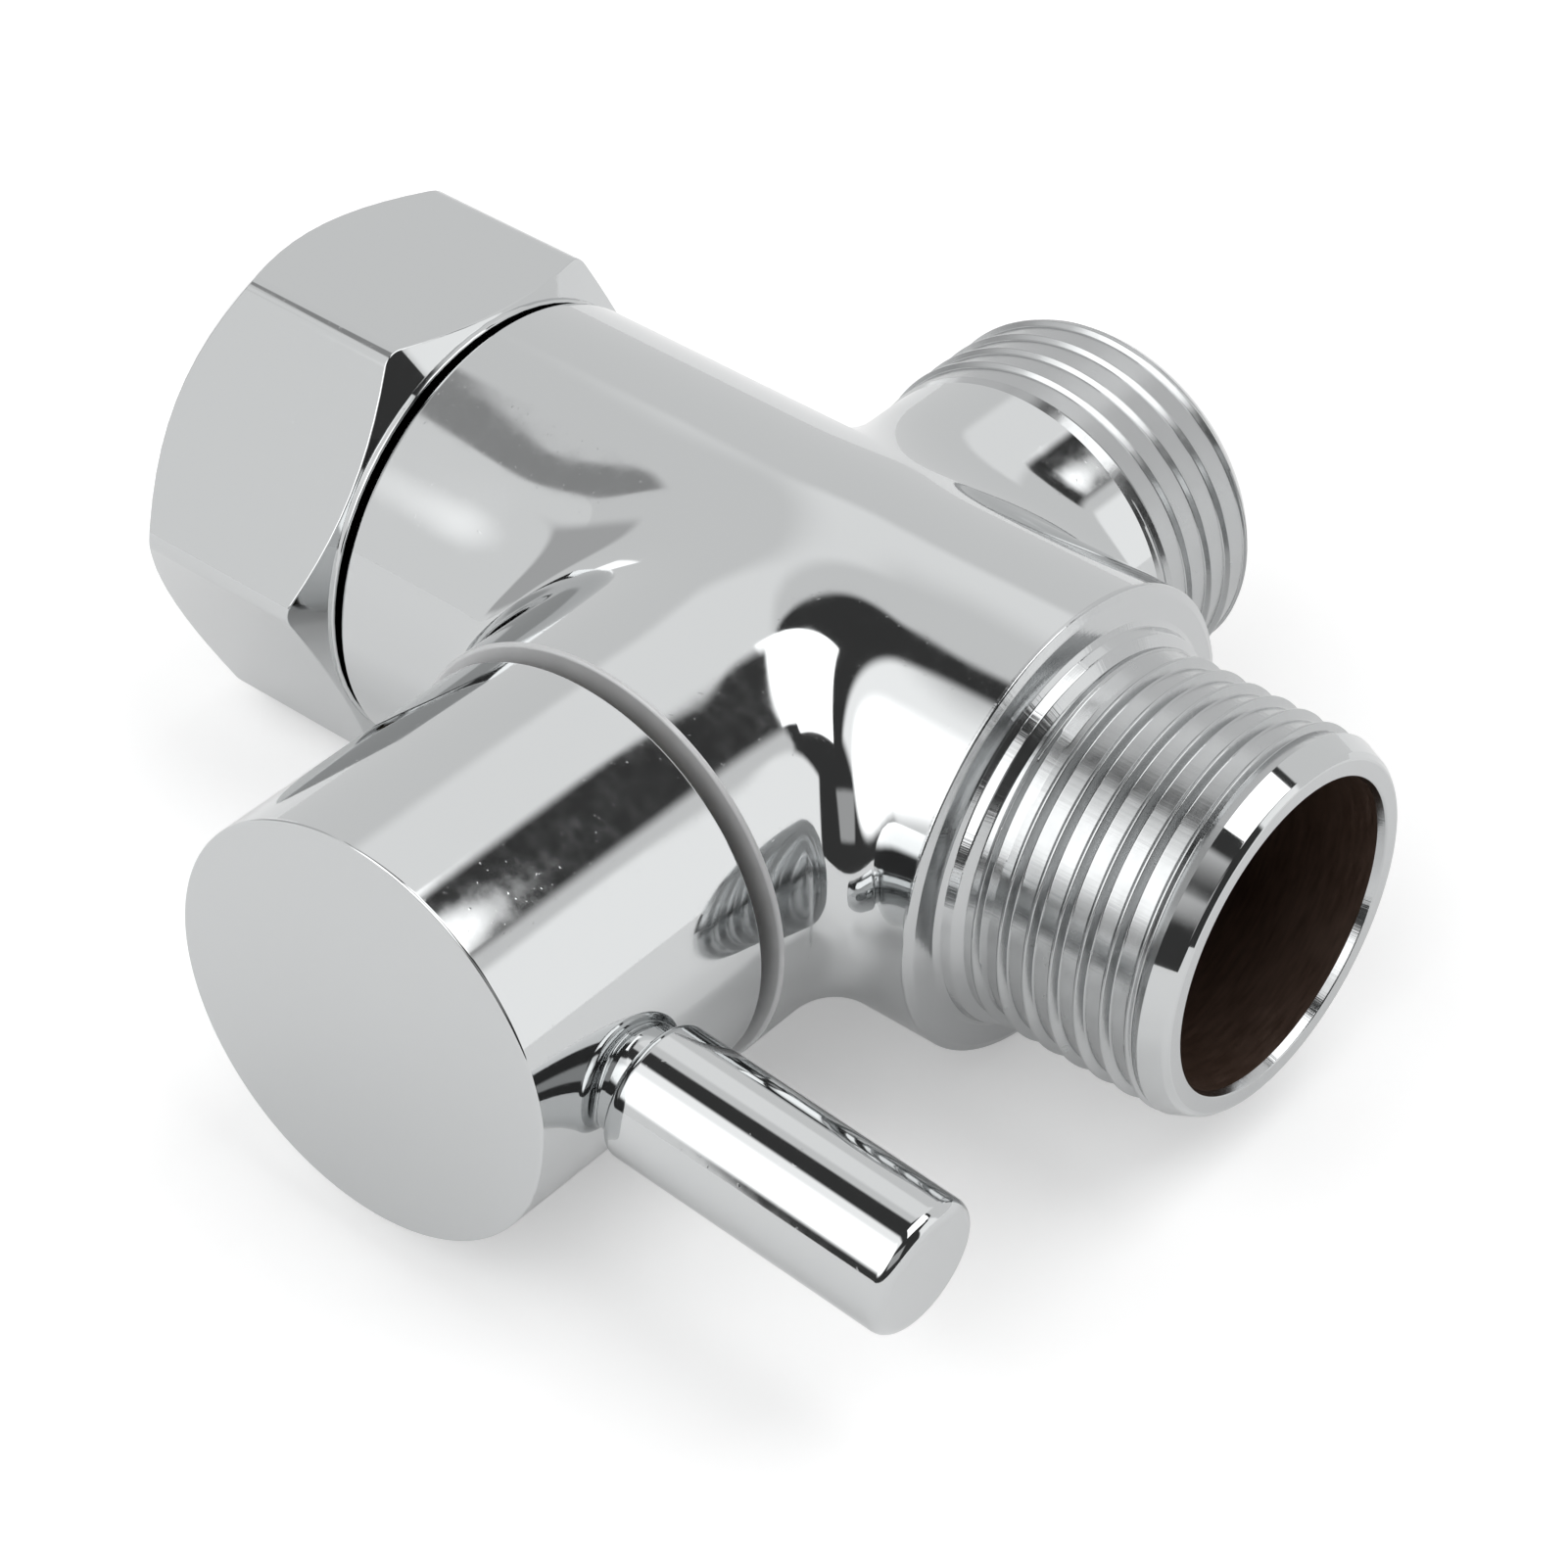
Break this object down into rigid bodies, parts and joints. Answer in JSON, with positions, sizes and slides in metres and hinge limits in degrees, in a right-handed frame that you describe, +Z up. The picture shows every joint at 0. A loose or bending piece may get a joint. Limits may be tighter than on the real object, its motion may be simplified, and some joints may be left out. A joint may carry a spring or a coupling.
{
  "type": "shower diverter valve",
  "caption": "Inline shower diverter valve: swivel hexagon inlet nut, main and side outlets with outside threads, and a round knob with a pin lever that switches the flow.",
  "frame": {"origin": "on the run's axis, at the inner end of the inlet nut's thread", "axes": "+X along the run from the inlet nut to the main outlet, +Y along the side outlet and away from the knob, +Z up, square to both"},
  "size_m": [0.0653, 0.0596, 0.027],
  "materials": {
    "chrome_plate": "polished chrome plating on brass, with fine marks",
    "bare_brass": "turned, unplated",
    "steel": "stainless, fine brushed",
    "black_rubber": "moulded, matt",
    "ceramic": "lapped alumina",
    "white_plastic": "moulded acetal"
  },
  "bodies": {
    "body": {"valve_body": "chrome_plate", "nut_retaining_ring": "steel", "inlet_gasket": "black_rubber", "inlet_screen": "steel", "bonnet": "bare_brass", "bonnet_o_ring": "black_rubber", "fixed_disc": "ceramic", "seat_seal": "black_rubber", "stop_pin": "steel"},
    "nut": {"inlet_nut": "chrome_plate"},
    "knob": {"knob": "chrome_plate", "knob_insert": "white_plastic", "knob_set_screw": "steel", "lever": "chrome_plate", "rotor": "bare_brass", "rotor_seal": "black_rubber", "friction_washer": "white_plastic", "inner_stem_o_ring": "black_rubber", "outer_stem_o_ring": "black_rubber", "moving_disc": "ceramic", "stem_clip": "steel"}
  },
  "joints": [
    {"name": "knob_turn", "type": "hinge", "parent": "body", "child": "knob", "pos_m": [0.02971, 0, 0], "axis": [0, 1, 0], "range_deg": [0, 90]},
    {"name": "nut_turn", "type": "hinge", "parent": "body", "child": "nut", "pos_m": [0, 0, 0], "axis": [1, 0, 0], "continuous": true}
  ]
}
